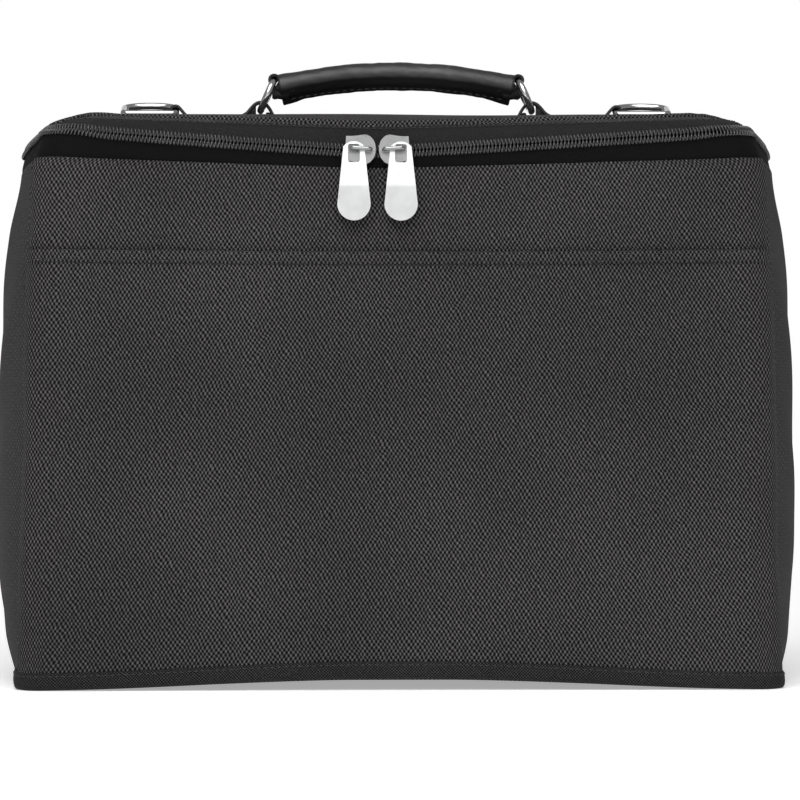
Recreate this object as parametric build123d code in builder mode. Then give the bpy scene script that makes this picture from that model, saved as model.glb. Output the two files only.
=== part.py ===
"""Soft flight bag with a domed lid that is zipped round three sides.

Frame: +Z up, front of the bag towards -Y, origin on the floor under the middle of the bag.
Every layer of the bag is a shell between two copies of one lofted form, cut into sewn panels.
"""

from build123d import *
from functools import cache
from math import atan, cos, radians, sin, sqrt
import os

# ---- driving dimensions, in mm -------------------------------------------------------
# One outline of the bag at a height: z, half width at the corner seams, how far the side
# bulges past them, distance of the front and of the back face, corner radius.
BODY_ROWS = [
    (0, 188.0, 3.0, 95.0, 95.0, 12),
    (25, 187.5, 12.0, 93.0, 93.3, 13),
    (75, 186.5, 17.5, 89.2, 90.0, 15),
    (165, 185.5, 16.5, 82.2, 84.0, 17),
    (225, 184.5, 13.0, 77.5, 80.0, 18),
    (257, 183.5, 8.0, 75.0, 78.0, 18),
]
LID_ROWS = [
    (257, 183.5, 8.0, 75.0, 78.0, 18),
    (262, 182.3, 8.0, 74.3, 76.3, 20),
    (268, 180.5, 7.5, 73.4, 73.8, 23),
    (273, 178.3, 6.5, 72.3, 70.6, 25),
    (276.5, 176.0, 5.5, 70.4, 66.5, 26),
    (279.5, 172.5, 4.5, 65.0, 58.0, 26),
    (282, 167.5, 3.5, 55.5, 42.0, 25),
    (284.2, 159.0, 2.5, 43.0, 18.0, 18),
    (285.6, 147.0, 2.0, 31.0, -8.0, 7),
]
SHOULDER_Z = 257  # crease between the front panel and the zip band
CREST_Z = 285.6  # ridge of the lid, a little in front of the handle

# Height of a sewn line at LOW_X in the front, at RISE_X and at the corners.
RISE_X, LEVEL_X = 150, 168
LOW_X = -11.3  # where these lines hang lowest and the two zip sliders meet
PANEL_TOP = (256.5, 261.4, 262.0)
ZIP_LINE = (264.6, 273.6, 275.5)
LID_SEAM = (276.7, 281.2, 282.0)
SIDE_SAG, SEAM_SAG = 9.0, 5.0  # dip of these lines in the middle of the bag's sides
HINGE_Z = 275.5  # fold of the hinge cloth, along the back

CLOTH = 1.5  # coated nylon
TAPE = 0.9  # woven zip tape
FOAM_OUT, FOAM_IN = 1.6, 5.4  # depth below the outer face
LINING_OUT, LINING_IN = 5.5, 6.3
LID_FOAM_OUT, LID_FOAM_IN = 2.4, 4.6
LID_LINING_OUT, LID_LINING_IN = 5.0, 5.8
SEWN_GAP = 0.15  # half the gap between two panels at a seam

POCKET_GAP, POCKET_CLOTH = 0.6, 1.2
POCKET_TOP_Z, HEM_HEIGHT, HEM_CLOTH = 216, 6, 0.8
BINDING_HEIGHT, BINDING_OUT = 8, 2.4
BOARD_X, BOARD_Y, BOARD_Z = 364, 176, 3.6

COIL_OUT = 2.4  # how far the zip coil stands out of the tape
ZIP_SLOT = 0.75  # half the slot, in height, where a slider's post runs
COIL_HEIGHT = 2.6  # height of one coil half, measured upright
ZIP_END_Y = 46  # the zip ends at the back corners of the sides

FAR = 400  # bigger than the bag, for cutting prisms


# ---- the bag's form ------------------------------------------------------------------
def outline(row, inset):
    """One closed outline of the bag."""
    z, half, bulge, front, back, radius = row
    half, front, back = half - inset, front - inset, back - inset
    radius = max(radius - inset, 1.0)
    turn = radius * (1 - sqrt(0.5))
    middle = (back - front) / 2
    with BuildLine() as edges:
        for side in (1, -1):
            Line((0, -front), (side * (half - radius), -front))
            ThreePointArc(
                (side * (half - radius), -front),
                (side * (half - turn), -front + turn),
                (side * half, -front + radius),
            )
            ThreePointArc(
                (side * half, -front + radius),
                (side * (half + bulge), middle),
                (side * half, back - radius),
            )
            ThreePointArc(
                (side * half, back - radius),
                (side * (half - turn), back - turn),
                (side * (half - radius), back),
            )
            Line((side * (half - radius), back), (0, back))
    return edges.line


@cache
def form(inset):
    """The whole bag as one solid, its faces moved inwards by inset."""
    with BuildPart() as solid:
        for row in BODY_ROWS:
            with BuildSketch(Plane.XY.offset(max(row[0], inset))):
                add(outline(row, inset))
                make_face()
        loft()
        for row in LID_ROWS:
            sink = inset * (row[0] - SHOULDER_Z) / (CREST_Z - SHOULDER_Z)
            with BuildSketch(Plane.XY.offset(row[0] - sink)):
                add(outline(row, inset))
                make_face()
        loft(ruled=True)
    return solid.part


def shell(outside, inside):
    """The layer between two depths; a depth below zero stands out of the bag."""
    with BuildPart() as layer:
        add(form(outside))
        add(form(inside), mode=Mode.SUBTRACT)
    return layer.part


# ---- cutting prisms ------------------------------------------------------------------
def above(heights, shift=0.0, back_z=None, sag=SIDE_SAG):
    """Everything above a sewn line that dips at the front and sides; straight at the back."""
    centre, rise, level = (height + shift for height in heights)
    top = back_z if back_z is not None else level
    ridge = [(-LEVEL_X, level), (-RISE_X, rise), (LOW_X, centre), (RISE_X, rise), (LEVEL_X, level)]
    dip = [(-FAR, level), (-56, level), (-34, level - 0.7 * sag), (-8, level - sag)]
    dip += [(20, level - 0.7 * sag), (ZIP_END_Y, level)]
    with BuildPart() as region:
        with BuildSketch(Plane.XZ.offset(-ZIP_END_Y)):
            with BuildLine():
                Polyline(*ridge, (LEVEL_X, FAR), (-LEVEL_X, FAR), close=True)
            make_face()
        extrude(amount=FAR)
        for start in (-FAR, LEVEL_X):
            with BuildSketch(Plane.YZ.offset(start)):
                with BuildLine():
                    Polyline(*dip, (ZIP_END_Y, FAR), (-FAR, FAR), close=True)
                make_face()
            extrude(amount=FAR - LEVEL_X)
        with Locations((0, ZIP_END_Y, top)):
            Box(2 * FAR, FAR, FAR, align=(Align.CENTER, Align.MIN, Align.MIN))
    return region.part


def box_region(x0, x1, y0, y1, z0, z1):
    with BuildPart() as region:
        with Locations(((x0 + x1) / 2, (y0 + y1) / 2, (z0 + z1) / 2)):
            Box(x1 - x0, y1 - y0, z1 - z0)
    return region.part


def wedge(points):
    """A prism along X from points given as (y, z)."""
    with BuildPart() as region:
        with BuildSketch(Plane.YZ.offset(-FAR)):
            with BuildLine():
                Polyline(*points, close=True)
            make_face()
        extrude(amount=2 * FAR)
    return region.part


def corner_seams(gap):
    """Prisms in front of the front corner seams and behind the back ones."""
    front_low, front_top = -95 + 12 - 2 + gap, -75 + 18 - 2 + gap
    back_low, back_top = 95 - 12 + 2 - gap, 78 - 18 + 2 - gap
    front = wedge([(-FAR, -20), (front_low, -20), (front_top, 257), (front_top, FAR), (-FAR, FAR)])
    back = wedge([(FAR, -20), (back_low, -20), (back_top, 257), (ZIP_END_Y, FAR), (FAR, FAR)])
    return front, back


def cut(name, body, keep=(), remove=()):
    """A sub-part: body limited to every keep region, without any remove region."""
    with BuildPart() as piece:
        add(body)
        for region in keep:
            add(region, mode=Mode.INTERSECT)
        for region in remove:
            add(region, mode=Mode.SUBTRACT)
    piece.part.label = name
    return piece.part


os.makedirs("parts", exist_ok=True)


def save(part, name):
    part.label = name
    export_step(part, f"parts/{name}.step")


# ---- shared layers and regions -------------------------------------------------------
cloth = shell(0, CLOTH)
tape = shell(0, TAPE)
foam = shell(FOAM_OUT, FOAM_IN)
lining_layer = shell(LINING_OUT, LINING_IN)
lid_foam_layer = shell(LID_FOAM_OUT, LID_FOAM_IN)
lid_lining_layer = shell(LID_LINING_OUT, LID_LINING_IN)
coil_layer = shell(-COIL_OUT, -0.05)

front_side, back_side = corner_seams(-SEWN_GAP)
front_clear, back_clear = corner_seams(SEWN_GAP)
past_panels = above(PANEL_TOP, -SEWN_GAP, HINGE_Z - SEWN_GAP)
over_panels = above(PANEL_TOP, SEWN_GAP, HINGE_Z)
lid_side = above(ZIP_LINE, ZIP_SLOT, HINGE_Z + SEWN_GAP)
body_top = above(ZIP_LINE, -ZIP_SLOT, HINGE_Z - SEWN_GAP)
coil_bottom = above(ZIP_LINE, -ZIP_SLOT - COIL_HEIGHT, HINGE_Z)
coil_top = above(ZIP_LINE, ZIP_SLOT + COIL_HEIGHT, HINGE_Z)
zip_run = box_region(-FAR, FAR, -FAR, ZIP_END_Y - SEWN_GAP, 0, FAR)
behind_zip = box_region(-FAR, FAR, ZIP_END_Y + SEWN_GAP, FAR, 0, FAR)
floor_slab = box_region(-FAR, FAR, -FAR, FAR, -1, CLOTH)
HINGE_CLOTH_Z = 264


# ---- body panels ---------------------------------------------------------------------
def body_panels():
    save(cut("bottom_panel", cloth, keep=[floor_slab]), "bottom_panel")
    save(
        cut("front_panel", cloth, keep=[front_side], remove=[past_panels, floor_slab]),
        "front_panel",
    )
    low_back = box_region(-FAR, FAR, 0, FAR, CLOTH, HINGE_CLOTH_Z - SEWN_GAP)
    save(cut("back_panel", cloth, keep=[back_side, low_back]), "back_panel")
    hinge_back = box_region(-FAR, FAR, 0, FAR, HINGE_CLOTH_Z + SEWN_GAP, HINGE_Z - SEWN_GAP)
    save(cut("hinge_cloth_lower", cloth, keep=[back_side, hinge_back]), "hinge_cloth_lower")
    gusset_height = box_region(-FAR, FAR, -FAR, FAR, CLOTH, PANEL_TOP[2] - SEWN_GAP)
    gusset_top = above(PANEL_TOP, -SEWN_GAP, PANEL_TOP[2] - SEWN_GAP)
    for side, x0, x1 in (("left", -FAR, -100), ("right", 100, FAR)):
        half = box_region(x0, x1, -FAR, FAR, 0, FAR)
        gusset = cut(
            f"{side}_gusset",
            cloth,
            keep=[half, gusset_height],
            remove=[front_clear, back_clear, gusset_top],
        )
        save(gusset, f"{side}_gusset")


def front_pocket():
    layer = shell(-POCKET_GAP - POCKET_CLOTH, -POCKET_GAP)
    height = box_region(-FAR, FAR, -FAR, 0, BINDING_HEIGHT + 0.1, POCKET_TOP_Z)
    save(cut("front_pocket", layer, keep=[front_side, height]), "front_pocket")
    hem_outside = -POCKET_GAP - POCKET_CLOTH - HEM_CLOTH
    hem_layer = shell(hem_outside, -POCKET_GAP - POCKET_CLOTH)
    hem = box_region(-FAR, FAR, -FAR, 0, POCKET_TOP_Z - HEM_HEIGHT, POCKET_TOP_Z)
    save(cut("pocket_hem", hem_layer, keep=[front_side, hem]), "pocket_hem")


def bottom_binding():
    with BuildPart() as binding:
        for row, z in ((BODY_ROWS[0], 0), (BODY_ROWS[0], BINDING_HEIGHT)):
            with BuildSketch(Plane.XY.offset(z)):
                add(outline(row, -BINDING_OUT))
                make_face()
        loft()
        add(form(0), mode=Mode.SUBTRACT)
    save(binding.part, "bottom_binding")


def padding():
    """Foam boards between the cloth and the lining, and the board in the floor."""
    board_height = box_region(-FAR, FAR, -FAR, FAR, LINING_OUT + 0.5, 250)
    front_in, back_in = corner_seams(-0.6)
    front_out, back_out = corner_seams(0.6)
    save(cut("front_foam", foam, keep=[front_in, board_height]), "front_foam")
    save(cut("back_foam", foam, keep=[back_in, board_height]), "back_foam")
    for side, x0, x1 in (("left", -FAR, -100), ("right", 100, FAR)):
        half = box_region(x0, x1, -FAR, FAR, 0, FAR)
        board = cut(
            f"{side}_foam", foam, keep=[half, board_height], remove=[front_out, back_out]
        )
        save(board, f"{side}_foam")
    with BuildPart() as base_board:
        with BuildSketch(Plane.XY.offset(FOAM_OUT)):
            RectangleRounded(BOARD_X, BOARD_Y, 10)
        extrude(amount=BOARD_Z)
    save(base_board.part, "base_board")
    lined = box_region(-FAR, FAR, -FAR, FAR, 0, 255.5)
    save(cut("lining", lining_layer, keep=[lined]), "lining")


# ---- zip -----------------------------------------------------------------------------
def zip_fastener():
    save(
        cut("lower_zip_tape", tape, keep=[over_panels, zip_run], remove=[body_top]),
        "lower_zip_tape",
    )
    save(
        cut("lower_zip_coil", coil_layer, keep=[coil_bottom, zip_run], remove=[body_top]),
        "lower_zip_coil",
    )
    save(
        cut("upper_zip_coil", coil_layer, keep=[lid_side, zip_run], remove=[coil_top]),
        "upper_zip_coil",
    )
    tab_layer = shell(-1.3, -0.1)
    for side, x0, x1 in (("left", -FAR, -90), ("right", 90, FAR)):
        patch = box_region(x0, x1, ZIP_END_Y + 0.3, ZIP_END_Y + 12, 260, HINGE_Z - 0.3)
        save(cut(f"{side}_zip_end_tab", tab_layer, keep=[patch]), f"{side}_zip_end_tab")


# ---- lid -----------------------------------------------------------------------------
def lid():
    panel_side = above(LID_SEAM, SEWN_GAP, sag=SEAM_SAG)
    past_seam = above(LID_SEAM, -SEWN_GAP, sag=SEAM_SAG)
    save(cut("lid_panel", cloth, keep=[panel_side]), "lid_panel")
    save(cut("lid_border", tape, keep=[lid_side, zip_run], remove=[past_seam]), "lid_border")
    save(
        cut("hinge_cloth_upper", cloth, keep=[lid_side, behind_zip], remove=[past_seam]),
        "hinge_cloth_upper",
    )
    inside = box_region(-LEVEL_X + 2, LEVEL_X - 2, -FAR, FAR, 0, FAR)
    over_foam = above(LID_SEAM, -0.5, sag=SEAM_SAG)
    over_lining = above(LID_SEAM, -1.5, sag=SEAM_SAG)
    save(cut("lid_foam", lid_foam_layer, keep=[over_foam, inside]), "lid_foam")
    save(cut("lid_lining", lid_lining_layer, keep=[over_lining, inside]), "lid_lining")


# ---- sliders and pulls ---------------------------------------------------------------
# A slider and its pull are drawn on a run that rises to the right from X = 0.
FRONT_SLOPE = (74.3 - 73.4) / (268 - 262)  # how far the zip band leans back per mm of height
BAND_NORMAL = Vector(0, -1, FRONT_SLOPE).normalized()
ZIP_Y = -73.4 - (268 - ZIP_LINE[0]) * FRONT_SLOPE

SLIDER_LENGTH, SLIDER_WIDTH, SLIDER_TAIL = 15.0, 14.6, 12.4
SLIDER_X = 8.3  # middle of a slider at rest, from LOW_X
PLATE_LOW, PLATE_HIGH = 2.8, 3.8  # top plate, out of the band's surface
FLANGE_LOW, FLANGE_IN = 1.2, 5.6
UNDER_HIGH, UNDER_LOW = -2.0, -3.0
UNDER_WIDTH, UNDER_TAIL = 9.6, 8.0
POST_LENGTH, POST_WIDTH, POST_FROM_NOSE = 4.4, 1.0, 3.2
POST_BACK, POST_FRONT = 2.9, 4.0  # ends of the level post, inside the two plates
BAR_RADIUS, BAR_HEIGHT, BAR_BEND = 1.0, 6.9, 1.5
BAR_NOSE, BAR_TAIL = -5.0, 4.6  # ends of the bridge bar along the slider

PULL_X = 11.6  # middle of a pull at rest, from LOW_X
PULL_THICK, PULL_HEAD, PULL_WIDE = 1.5, 10.4, 16.4
PULL_ABOVE, PULL_LENGTH = 3.6, 39.6
SLOT_WIDTH, SLOT_ABOVE, SLOT_BELOW = 5.8, 2.0, 7.1
LEG_BEHIND = BAR_RADIUS + 0.2 + PULL_THICK / 2


def run_direction(side):
    """Direction of one half of the zip's front run, drawn as if on the right."""
    reach = RISE_X - LOW_X if side == "right" else RISE_X + LOW_X
    rise = ZIP_LINE[1] - ZIP_LINE[0]
    return Vector(reach, rise * FRONT_SLOPE, rise).normalized()


def zip_point(run, x, out=0.0):
    """A point on a front run of the zip, x along the bag, out of the surface."""
    return Vector(0, ZIP_Y, ZIP_LINE[0]) + run * (x / run.X) + BAND_NORMAL * out


def leaf(width_nose, width_tail, length):
    """The leaf outline of a slider, its nose at -length / 2."""
    with BuildLine() as edges:
        Spline(
            (-length / 2, 0),
            (-length * 0.2, width_nose / 2),
            (length / 2, width_tail / 2),
            tangents=[(0, 1), (1, 0)],
        )
        Line((length / 2, width_tail / 2), (length / 2, -width_tail / 2))
        Spline(
            (length / 2, -width_tail / 2),
            (-length * 0.2, -width_nose / 2),
            (-length / 2, 0),
            tangents=[(-1, 0), (0, 1)],
        )
    return edges.line


def slider(run):
    """A slider: two plates joined by a post, with a bridge for the pull."""
    base = Plane(origin=zip_point(run, SLIDER_X), x_dir=run, z_dir=BAND_NORMAL)
    with BuildPart() as body:
        with BuildSketch(base.offset(PLATE_LOW)):
            add(leaf(SLIDER_WIDTH, SLIDER_TAIL, SLIDER_LENGTH))
            make_face()
        extrude(amount=PLATE_HIGH - PLATE_LOW)
        with BuildSketch(base.offset(FLANGE_LOW)):
            add(leaf(SLIDER_WIDTH, SLIDER_TAIL, SLIDER_LENGTH))
            make_face()
            Rectangle(2 * SLIDER_LENGTH, 2 * FLANGE_IN, mode=Mode.SUBTRACT)
        extrude(amount=PLATE_LOW - FLANGE_LOW)
        with BuildSketch(base.offset(UNDER_LOW)):
            add(leaf(UNDER_WIDTH, UNDER_TAIL, SLIDER_LENGTH))
            make_face()
        extrude(amount=UNDER_HIGH - UNDER_LOW)
        post = Plane(
            origin=zip_point(run, SLIDER_X - SLIDER_LENGTH / 2 + POST_FROM_NOSE),
            x_dir=(run.X, 0, run.Z),
            z_dir=(0, -1, 0),
        )
        with BuildSketch(post.offset(-POST_BACK)):
            SlotOverall(POST_LENGTH, POST_WIDTH)
        extrude(amount=POST_BACK + POST_FRONT)
        side = Plane(origin=base.origin, x_dir=run, z_dir=run.cross(BAND_NORMAL))
        with BuildLine(side) as bridge:
            FilletPolyline(
                (BAR_NOSE, PLATE_LOW + 0.5),
                (BAR_NOSE, BAR_HEIGHT),
                (BAR_TAIL, BAR_HEIGHT),
                (BAR_TAIL, PLATE_LOW + 0.5),
                radius=BAR_BEND,
            )
        with BuildSketch(Plane(origin=bridge.line @ 0, z_dir=bridge.line % 0)):
            Circle(BAR_RADIUS)
        sweep()
    return body.part


def pull(run):
    """A pull, hung on the bridge bar with one side of its slot behind the bar."""
    bar = zip_point(run, PULL_X, BAR_HEIGHT)
    lean = atan(FRONT_SLOPE)  # upper half, from upright, along the zip band
    down = Vector(0, -sin(lean), -cos(lean))
    outward = Vector(0, -cos(lean), sin(lean))
    head = bar - outward * LEG_BEHIND
    top = head - down * PULL_ABOVE
    bend = head + down * 19
    tip = bend + Vector(0, -0.9, -PULL_LENGTH + 19 + PULL_ABOVE)
    side = Plane(origin=(PULL_X - PULL_WIDE, 0, 0), x_dir=(0, 1, 0), z_dir=(1, 0, 0))
    half_head, half_wide = PULL_HEAD / 2, PULL_WIDE / 2
    upper, lower = top.Z - 0.1, tip.Z + 0.1
    shoulder, cheek = upper - 2.6, lower + half_wide
    with BuildPart() as tab:
        with BuildSketch(side):
            with BuildLine():
                FilletPolyline((top.Y, top.Z), (bend.Y, bend.Z), (tip.Y, tip.Z), radius=14)
            trace(line_width=PULL_THICK)
        extrude(amount=2 * PULL_WIDE)
        with BuildSketch(Plane.XZ.offset(150)):
            with BuildLine():
                Line((PULL_X - half_head, shoulder), (PULL_X - half_wide, cheek))
                ThreePointArc(
                    (PULL_X - half_wide, cheek), (PULL_X, lower), (PULL_X + half_wide, cheek)
                )
                Line((PULL_X + half_wide, cheek), (PULL_X + half_head, shoulder))
                ThreePointArc(
                    (PULL_X + half_head, shoulder), (PULL_X, upper), (PULL_X - half_head, shoulder)
                )
            make_face()
        extrude(amount=-200, mode=Mode.INTERSECT)
        slot_plane = Plane(origin=head, x_dir=(1, 0, 0), z_dir=outward)
        with BuildSketch(slot_plane.offset(-6)):
            with Locations((0, (SLOT_ABOVE - SLOT_BELOW) / 2)):
                RectangleRounded(SLOT_WIDTH, SLOT_ABOVE + SLOT_BELOW, 1.2)
        extrude(amount=12, mode=Mode.SUBTRACT)
    return tab.part


def sliders_and_pulls():
    for side in ("left", "right"):
        run = run_direction(side)
        for name, part in (("slider", slider(run)), ("pull", pull(run))):
            facing = part if side == "right" else mirror(part, about=Plane.YZ)
            save(Location((LOW_X, 0, 0)) * facing, f"{side}_{name}")


# ---- webbing anchors, rings and handle -----------------------------------------------
ANCHOR_Y = 4
SEAT_Z = 285.4  # lid surface under the anchors
WEB = 1.3  # webbing thickness
ANCHOR_WIDTH, LOOP_WIDTH = 20, 9
RING_WIRE = 1.8
RING_RADIUS, RING_LEAN = 8.6, 24
RING_LOW_X = 69.5  # where the handle ring passes through its anchor loop
RING_LOW_Z = SEAT_Z + WEB + 1.0 + RING_WIRE
RING_CENTRE = Vector(
    RING_LOW_X - RING_RADIUS * sin(radians(RING_LEAN)),
    ANCHOR_Y,
    RING_LOW_Z + RING_RADIUS * cos(radians(RING_LEAN)),
)
RING_TOP = Vector(
    RING_CENTRE.X - RING_RADIUS * sin(radians(RING_LEAN)),
    ANCHOR_Y,
    RING_CENTRE.Z + RING_RADIUS * cos(radians(RING_LEAN)),
)
HAND_LOOP_VOID = (8.6, 7.4)  # inside of an anchor loop round a handle ring, X and Z

D_X = 113.0  # leg of the strap ring that its anchor loop holds
D_LEG, D_BEND, D_HALF, D_ARCH = 7.6, 2.2, 13.2, 6.5
D_RISE = 17  # the ring points back and up by this angle
D_CENTRE_Z = SEAT_Z + RING_WIRE + 2.2
D_LOOP_IN, D_LOOP_WIDTH = RING_WIRE + 0.35, 7

GRIP_HALF, GRIP_END_Z, GRIP_RISE = 56.4, 298.2, 9.0
GRIP_RADIUS, CORE_RADIUS, STRAP_HALF = 7.2, 4.6, 5.0


def anchor():
    """Right-hand webbing anchor: a sewn strip with a loop for each ring at its ends."""
    loop_x = RING_LOW_X - 1.0
    void_x, void_z = HAND_LOOP_VOID
    with BuildPart() as web:
        inner_x = loop_x - void_x / 2 - WEB
        with BuildSketch(Plane.XY.offset(SEAT_Z - 3)):
            with BuildLine():
                Polyline(
                    (inner_x + 2, ANCHOR_Y - LOOP_WIDTH / 2),
                    (loop_x + void_x / 2 + WEB, ANCHOR_Y - LOOP_WIDTH / 2),
                    (loop_x + void_x / 2 + 8, ANCHOR_Y - ANCHOR_WIDTH / 2),
                    (D_X - 10, ANCHOR_Y - ANCHOR_WIDTH / 2),
                    (D_X - 5, ANCHOR_Y - D_LOOP_WIDTH / 2),
                    (D_X, ANCHOR_Y - D_LOOP_WIDTH / 2),
                    (D_X, ANCHOR_Y + D_LOOP_WIDTH / 2),
                    (D_X - 5, ANCHOR_Y + D_LOOP_WIDTH / 2),
                    (D_X - 10, ANCHOR_Y + ANCHOR_WIDTH / 2),
                    (loop_x + void_x / 2 + 8, ANCHOR_Y + ANCHOR_WIDTH / 2),
                    (loop_x + void_x / 2 + WEB, ANCHOR_Y + LOOP_WIDTH / 2),
                    (inner_x + 2, ANCHOR_Y + LOOP_WIDTH / 2),
                    close=True,
                )
            make_face()
        extrude(amount=3 + WEB)
        with BuildSketch(Plane.XZ.offset(-ANCHOR_Y - LOOP_WIDTH / 2)):
            with Locations((loop_x, SEAT_Z + WEB + void_z / 2)):
                RectangleRounded(void_x + 2 * WEB, void_z + 2 * WEB, 3.6)
                RectangleRounded(void_x, void_z, 2.4, mode=Mode.SUBTRACT)
        extrude(amount=LOOP_WIDTH)
        d_loop = Plane(
            origin=(D_X, ANCHOR_Y, D_CENTRE_Z),
            x_dir=(1, 0, 0),
            z_dir=(0, cos(radians(D_RISE)), sin(radians(D_RISE))),
        )
        with BuildSketch(d_loop.offset(-D_LOOP_WIDTH / 2)):
            Circle(D_LOOP_IN + WEB)
        extrude(amount=D_LOOP_WIDTH)
        with BuildSketch(d_loop.offset(-FAR / 8)):
            Circle(D_LOOP_IN)
        extrude(amount=FAR / 4, mode=Mode.SUBTRACT)
        add(form(-0.05), mode=Mode.SUBTRACT)
    return web.part


def handle_ring():
    """Right-hand round wire ring, leaning in towards the handle."""
    plane = Plane(
        origin=RING_CENTRE,
        x_dir=(0, 1, 0),
        z_dir=(cos(radians(RING_LEAN)), 0, sin(radians(RING_LEAN))),
    )
    with BuildPart() as ring:
        with Locations(plane):
            Torus(RING_RADIUS, RING_WIRE)
    return ring.part


def strap_ring():
    """Right-hand D ring, one leg in the anchor loop, lying back over the lid."""
    plane = Plane(
        origin=(D_X, ANCHOR_Y, D_CENTRE_Z),
        x_dir=(1, 0, 0),
        z_dir=(0, -sin(radians(D_RISE)), cos(radians(D_RISE))),
    )
    with BuildPart() as ring:
        with BuildLine(plane) as path:
            low, high, wide = -D_LEG / 2 - D_BEND, D_LEG / 2, 2 * D_HALF
            Line((0, high), (0, low + D_BEND))
            RadiusArc((0, low + D_BEND), (D_BEND, low), -D_BEND)
            Line((D_BEND, low), (wide - D_BEND, low))
            RadiusArc((wide - D_BEND, low), (wide, low + D_BEND), -D_BEND)
            Line((wide, low + D_BEND), (wide, high))
            EllipticalCenterArc((D_HALF, high), D_HALF, D_ARCH, arc_size=180)
        with BuildSketch(Plane(origin=path.line @ 0, z_dir=path.line % 0)):
            Circle(RING_WIRE)
        sweep()
    return ring.part


def grip_path():
    """The handle's arched centre line."""
    return ThreePointArc(
        (-GRIP_HALF, ANCHOR_Y, GRIP_END_Z),
        (0, ANCHOR_Y, GRIP_END_Z + GRIP_RISE),
        (GRIP_HALF, ANCHOR_Y, GRIP_END_Z),
    )


def grip():
    """Leather wrap with its sewn flange below, and the round core that it covers."""
    with BuildPart() as leather:
        with BuildLine() as path:
            grip_path()
        start = Plane(origin=path.line @ 0, x_dir=(0, 1, 0), z_dir=path.line % 0)
        with BuildSketch(start):
            Ellipse(GRIP_RADIUS, GRIP_RADIUS * 0.94)
            with Locations((0, -GRIP_RADIUS * 0.75)):
                RectangleRounded(3.4, GRIP_RADIUS * 1.1, 1.2)
            Circle(CORE_RADIUS + 0.1, mode=Mode.SUBTRACT)
        sweep()
    with BuildPart() as core:
        with BuildLine() as path:
            grip_path()
        start = Plane(origin=path.line @ 0, x_dir=(0, 1, 0), z_dir=path.line % 0)
        with BuildSketch(start):
            Circle(CORE_RADIUS)
        sweep()
    save(leather.part, "handle_grip")
    save(core.part, "handle_core")


def hand_loop():
    """Right-hand webbing loop that ties the grip to its ring."""
    void_x, void_z = 2 * RING_WIRE + 2.4, 2 * RING_WIRE + 4.2
    centre_x, centre_z = RING_TOP.X + 0.5, RING_TOP.Z - 1.4
    with BuildPart() as loop:
        with BuildSketch(Plane.XZ.offset(-ANCHOR_Y - STRAP_HALF)):
            with Locations((centre_x, centre_z)):
                RectangleRounded(void_x + 2 * WEB, void_z + 2 * WEB, 3.6)
                RectangleRounded(void_x, void_z, 2.4, mode=Mode.SUBTRACT)
        extrude(amount=2 * STRAP_HALF)
    return loop.part


def carrying_parts():
    grip()
    pairs = (
        ("anchor", anchor()),
        ("handle_ring", handle_ring()),
        ("strap_ring", strap_ring()),
        ("hand_loop", hand_loop()),
    )
    for name, part in pairs:
        save(part, f"right_{name}")
        save(mirror(part, about=Plane.YZ), f"left_{name}")


body_panels()
front_pocket()
bottom_binding()
padding()
zip_fastener()
lid()
sliders_and_pulls()
carrying_parts()
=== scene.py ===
"""Looks of the flight bag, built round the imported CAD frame. Lengths below are in millimetres."""

from math import cos, pi, radians, sin, sqrt

import bpy
import numpy as np
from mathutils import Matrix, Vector


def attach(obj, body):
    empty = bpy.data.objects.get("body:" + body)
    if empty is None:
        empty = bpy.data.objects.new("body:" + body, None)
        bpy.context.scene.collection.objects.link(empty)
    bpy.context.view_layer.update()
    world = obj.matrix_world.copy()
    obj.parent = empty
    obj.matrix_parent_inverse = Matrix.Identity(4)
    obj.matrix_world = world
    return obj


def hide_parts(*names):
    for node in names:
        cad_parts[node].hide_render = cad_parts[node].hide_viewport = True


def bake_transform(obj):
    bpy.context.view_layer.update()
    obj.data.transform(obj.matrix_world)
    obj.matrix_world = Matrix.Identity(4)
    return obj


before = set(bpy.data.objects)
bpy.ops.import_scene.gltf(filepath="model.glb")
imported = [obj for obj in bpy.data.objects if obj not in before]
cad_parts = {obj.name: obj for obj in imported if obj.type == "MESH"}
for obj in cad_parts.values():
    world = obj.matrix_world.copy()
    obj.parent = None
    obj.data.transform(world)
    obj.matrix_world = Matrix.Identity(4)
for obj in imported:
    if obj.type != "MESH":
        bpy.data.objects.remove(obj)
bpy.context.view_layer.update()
MM = 0.001

# ---- the bag's form, as part.py lofts it -----------------------------------------------------
# z, half width at the corner seams, bulge of the side, front, back, corner radius
ROWS = np.array(
    [
        (0, 188.0, 3.0, 95.0, 95.0, 12),
        (25, 187.5, 12.0, 93.0, 93.3, 13),
        (75, 186.5, 17.5, 89.2, 90.0, 15),
        (165, 185.5, 16.5, 82.2, 84.0, 17),
        (225, 184.5, 13.0, 77.5, 80.0, 18),
        (257, 183.5, 8.0, 75.0, 78.0, 18),
        (262, 182.3, 8.0, 74.3, 76.3, 20),
        (268, 180.5, 7.5, 73.4, 73.8, 23),
        (273, 178.3, 6.5, 72.3, 70.6, 25),
        (276.5, 176.0, 5.5, 70.4, 66.5, 26),
        (279.5, 172.5, 4.5, 65.0, 58.0, 26),
        (282, 167.5, 3.5, 55.5, 42.0, 25),
        (284.2, 159.0, 2.5, 43.0, 18.0, 18),
        (285.6, 147.0, 2.0, 31.0, -8.0, 7),
    ],
    float,
)
CREST = 285.6
HEM_Z = 216.0
ZIP_END_Y = 46.0
LOW_X = -11.3
RISE_X, LEVEL_X = 150, 178  # the sewn lines are nearly up at the first, level from the second on
PLAN_Z, ZIP_PLAN_Z = 270.0, 275.0  # where the sewn lines and the zip's ends are read off the plan
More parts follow.
